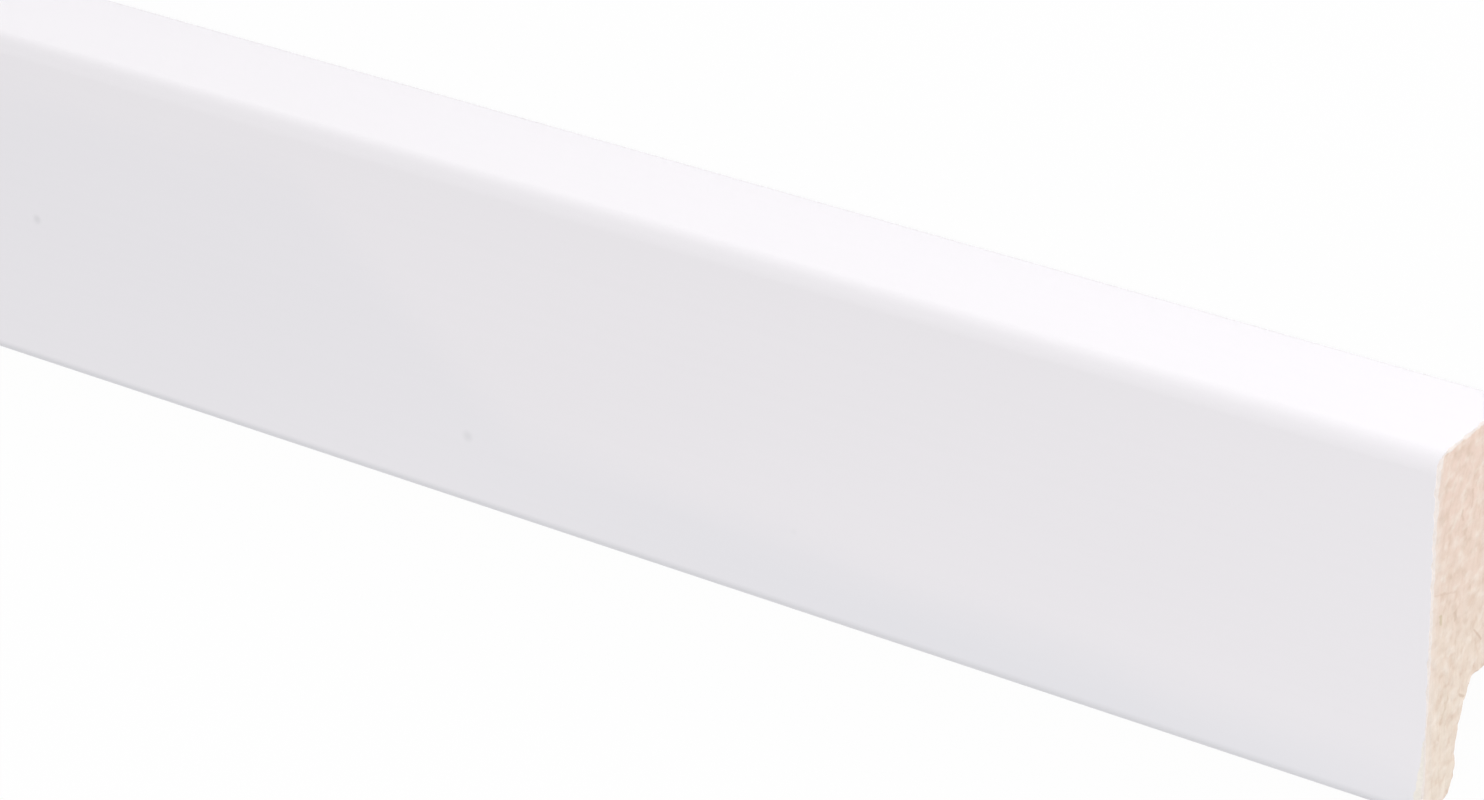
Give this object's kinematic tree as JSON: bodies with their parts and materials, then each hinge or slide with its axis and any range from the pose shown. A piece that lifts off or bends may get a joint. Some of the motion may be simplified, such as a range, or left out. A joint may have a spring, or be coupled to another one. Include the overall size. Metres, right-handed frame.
{
  "type": "skirting board length",
  "caption": "Straight length of white coated softwood skirting with a rounded top edge and a rebated back, with square cut ends.",
  "frame": {"origin": "middle of the box that holds the board, on the wall plane that it lies on", "axes": "+X along the board, +Y from the floor edge to the top edge, +Z out of the room face"},
  "size_m": [2.4, 0.06, 0.022],
  "materials": {
    "coated_softwood": "white satin coating on the room face, top and foot; bare softwood on the back and the cut ends"
  },
  "bodies": {
    "root": {"skirting_board": "coated_softwood"}
  },
  "joints": []
}
